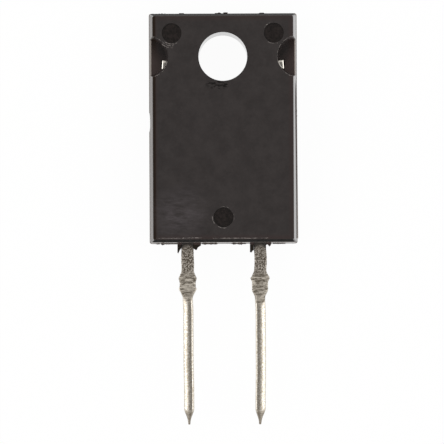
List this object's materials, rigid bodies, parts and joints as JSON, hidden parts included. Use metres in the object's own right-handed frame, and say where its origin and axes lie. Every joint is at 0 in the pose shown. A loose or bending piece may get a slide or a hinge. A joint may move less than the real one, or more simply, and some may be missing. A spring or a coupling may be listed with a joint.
{
  "type": "power film resistor",
  "caption": "Flat moulded through-hole power resistor with a screw hole, a bare ceramic back and straight stamped leads with pointed pins.",
  "frame": {"origin": "on the axis of the mounting hole, in the plane of the back face", "axes": "+Z along the hole and out of the front face, +Y away from the leads and along the longest side, +X across, towards the right lead as seen from the front"},
  "size_m": [0.0104, 0.029, 0.0032],
  "materials": {
    "moulding": "moulded, lightly eroded",
    "alumina": "as fired",
    "resistor_ink": "fired thick film",
    "overglaze": "fired glass",
    "silver_print": "fired thick film",
    "solder": "reflowed",
    "tinned_copper": "matt tin plate"
  },
  "bodies": {
    "root": {"moulded_body": "moulding", "ceramic_substrate": "alumina", "resistor_film": "resistor_ink", "glass_overglaze": "overglaze", "left_termination": "silver_print", "right_termination": "silver_print", "left_solder": "solder", "right_solder": "solder", "left_lead": "tinned_copper", "right_lead": "tinned_copper"}
  },
  "joints": []
}
